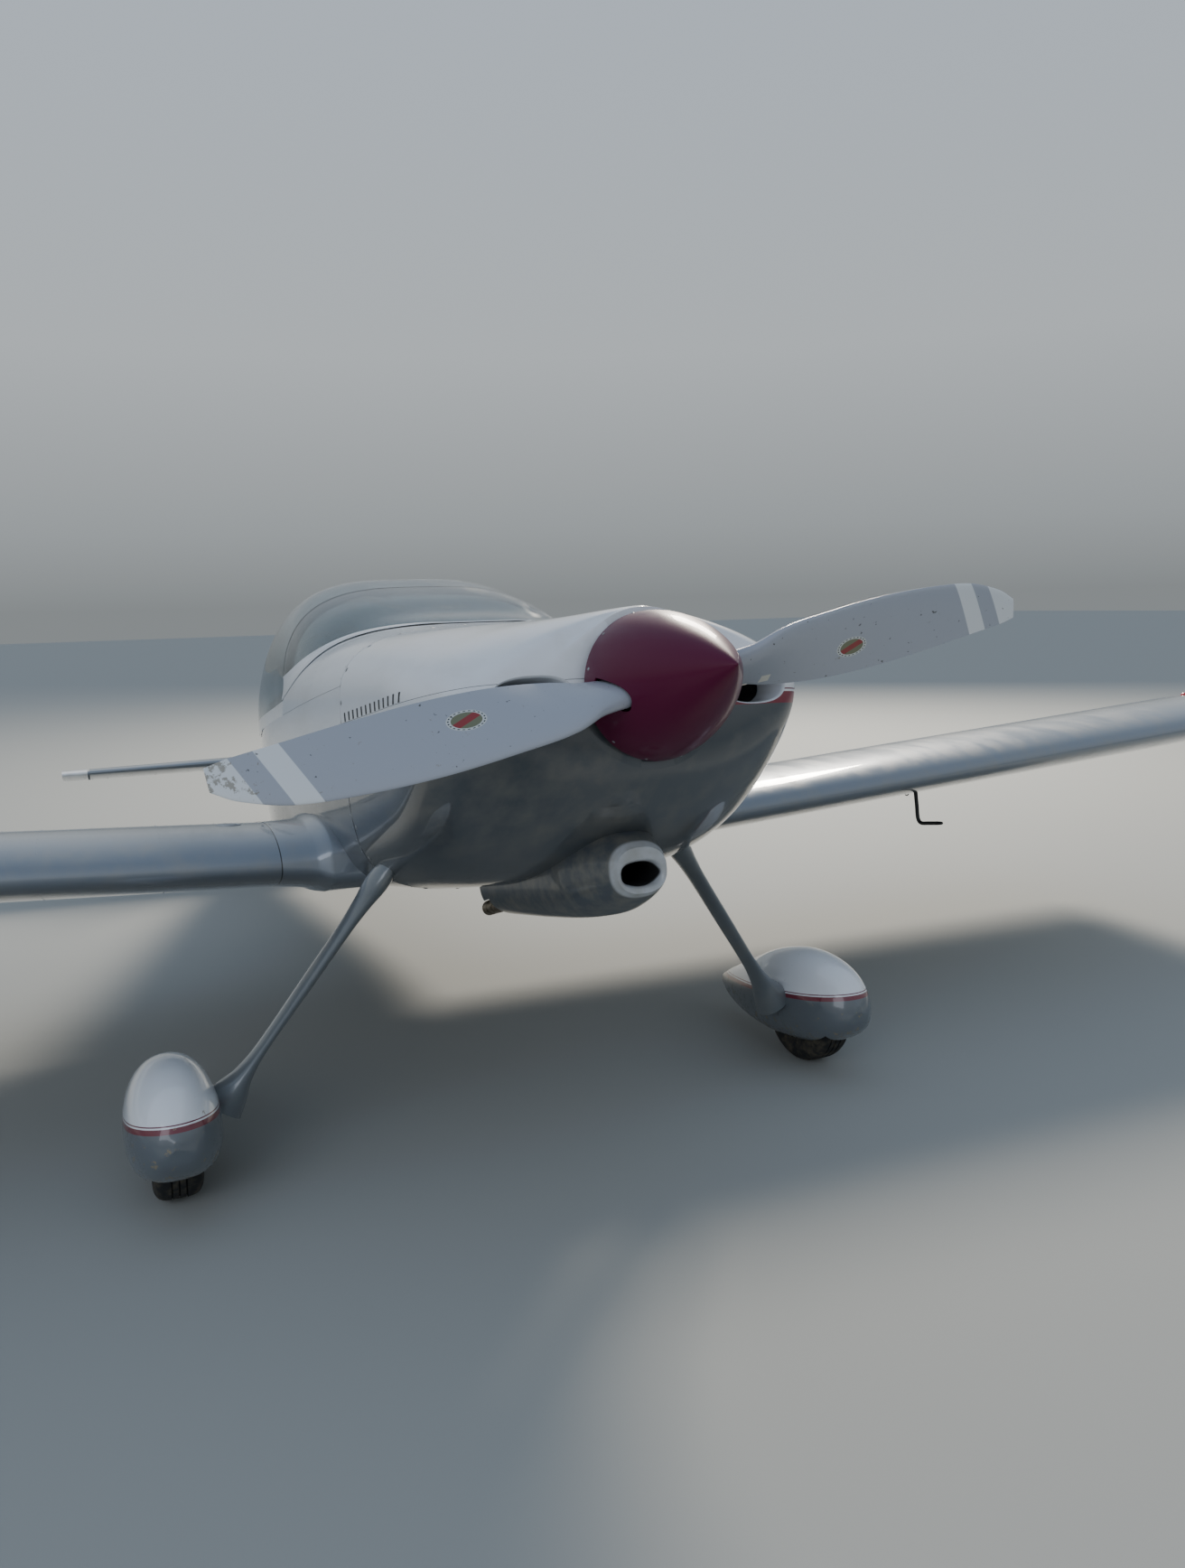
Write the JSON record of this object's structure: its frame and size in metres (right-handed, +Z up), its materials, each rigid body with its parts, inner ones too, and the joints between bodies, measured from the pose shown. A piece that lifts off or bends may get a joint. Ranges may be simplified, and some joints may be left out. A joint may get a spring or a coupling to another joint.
{
  "type": "light aircraft",
  "caption": "Two-seat low-wing light aircraft with a bubble canopy, fixed taildragger landing gear in wheel pants and a two-blade propeller, parked nose up.",
  "frame": {"origin": "middle of the aircraft's bounding box on the ground it stands on", "axes": "+Z up, the nose points to -Y, +X to port, parked 10 degrees nose up"},
  "size_m": [7.01, 6.0294, 1.6232],
  "materials": {
    "white_paint": "gloss white",
    "grey_paint": "gloss mid grey",
    "silver_paint": "silver grey, satin gloss",
    "plum_paint": "high gloss plum",
    "blade_paint": "satin grey with pale tip bands",
    "steel": "dull steel",
    "cast_alloy": "cast, satin",
    "tyre_rubber": "matt black",
    "black_trim": "matt black",
    "seat_cloth": "woven cloth",
    "acrylic": "clear, slightly hazed",
    "marking_red": "gloss stripe"
  },
  "bodies": {
    "airframe": {"cabin_tub": "grey_paint", "forward_deck": "white_paint", "instrument_panel": "black_trim", "seat_left": "seat_cloth", "seat_right": "seat_cloth", "control_stick_left": "black_trim", "control_stick_right": "black_trim", "firewall": "steel", "engine_block": "steel", "upper_cowl": "white_paint", "lower_cowl": "grey_paint", "windshield": "acrylic", "windshield_bow": "black_trim", "tail_cone": "grey_paint", "tailplane": "grey_paint", "fin": "white_paint", "wing_left": "silver_paint", "wing_right": "silver_paint", "wing_tip_left": "grey_paint", "wing_tip_right": "grey_paint", "gear_leg_left": "grey_paint", "gear_leg_right": "grey_paint", "wheel_pant_left": "white_paint", "wheel_pant_right": "white_paint", "tail_spring": "steel", "pitot_tube": "black_trim", "exhaust_pipe_left": "steel", "exhaust_pipe_right": "steel"},
    "propeller_unit": {"propeller": "blade_paint", "spinner": "plum_paint"},
    "main_wheel_left": {"tyre_left": "tyre_rubber", "wheel_rim_left": "cast_alloy"},
    "main_wheel_right": {"tyre_right": "tyre_rubber", "wheel_rim_right": "cast_alloy"},
    "sliding_canopy": {"canopy_glass": "acrylic", "canopy_frame": "black_trim"},
    "flap_left": {"flap_left": "silver_paint"},
    "flap_right": {"flap_right": "silver_paint"},
    "aileron_left": {"aileron_left": "silver_paint"},
    "aileron_right": {"aileron_right": "silver_paint"},
    "elevator": {"elevators": "silver_paint"},
    "rudder": {"rudder": "white_paint"},
    "tailwheel_steering": {"tailwheel_fork": "steel"},
    "tailwheel": {"tailwheel": "tyre_rubber"}
  },
  "joints": [
    {"name": "propeller_spin", "type": "hinge", "parent": "airframe", "child": "propeller_unit", "pos_m": [0, -2.75767, 1.36478], "axis": [0, -0.9848, 0.1736], "continuous": true},
    {"name": "wheel_left_spin", "type": "hinge", "parent": "airframe", "child": "main_wheel_left", "pos_m": [1, -1.78714, 0.17721], "axis": [1, 0, 0], "continuous": true},
    {"name": "wheel_right_spin", "type": "hinge", "parent": "airframe", "child": "main_wheel_right", "pos_m": [-1, -1.78714, 0.17721], "axis": [1, 0, 0], "continuous": true},
    {"name": "canopy_slide", "type": "slide", "parent": "airframe", "child": "sliding_canopy", "axis": [0, 0.9848, -0.1736], "range_m": [0, 0.75]},
    {"name": "flap_left_hinge", "type": "hinge", "parent": "airframe", "child": "flap_left", "pos_m": [0.566, -0.51286, 0.59141], "axis": [-0.9981, -0.0106, -0.0601], "range_deg": [0, 40]},
    {"name": "flap_right_hinge", "type": "hinge", "parent": "airframe", "child": "flap_right", "pos_m": [-0.566, -0.51286, 0.59141], "axis": [-0.9981, 0.0106, 0.0601], "range_deg": [0, 40]},
    {"name": "aileron_left_hinge", "type": "hinge", "parent": "airframe", "child": "aileron_left", "pos_m": [1.99, -0.4823, 0.70711], "axis": [0.9981, 0.0106, 0.0601], "range_deg": [-22, 22]},
    {"name": "aileron_right_hinge", "type": "hinge", "parent": "airframe", "child": "aileron_right", "pos_m": [-1.99, -0.4823, 0.70711], "axis": [0.9981, -0.0106, -0.0601], "range_deg": [-22, 22]},
    {"name": "elevator_hinge", "type": "hinge", "parent": "airframe", "child": "elevator", "pos_m": [0, 2.36644, 0.58311], "axis": [1, 0, 0], "range_deg": [-22, 28]},
    {"name": "rudder_hinge", "type": "hinge", "parent": "airframe", "child": "rudder", "pos_m": [0, 2.54749, 0.42934], "axis": [0, 0.1736, 0.9848], "range_deg": [-30, 30]},
    {"name": "tailwheel_steer", "type": "hinge", "parent": "airframe", "child": "tailwheel_steering", "pos_m": [0, 2.76418, 0.07526], "axis": [0, 0, 1], "range_deg": [-30, 30]},
    {"name": "tailwheel_spin", "type": "hinge", "parent": "tailwheel_steering", "child": "tailwheel", "pos_m": [0, 2.82218, 0.07526], "axis": [1, 0, 0], "continuous": true}
  ],
  "couplings": [
    {"joint": "flap_right_hinge", "follows": "flap_left_hinge", "ratio": 1},
    {"joint": "aileron_right_hinge", "follows": "aileron_left_hinge", "ratio": -1},
    {"joint": "tailwheel_steer", "follows": "rudder_hinge", "ratio": 1}
  ]
}
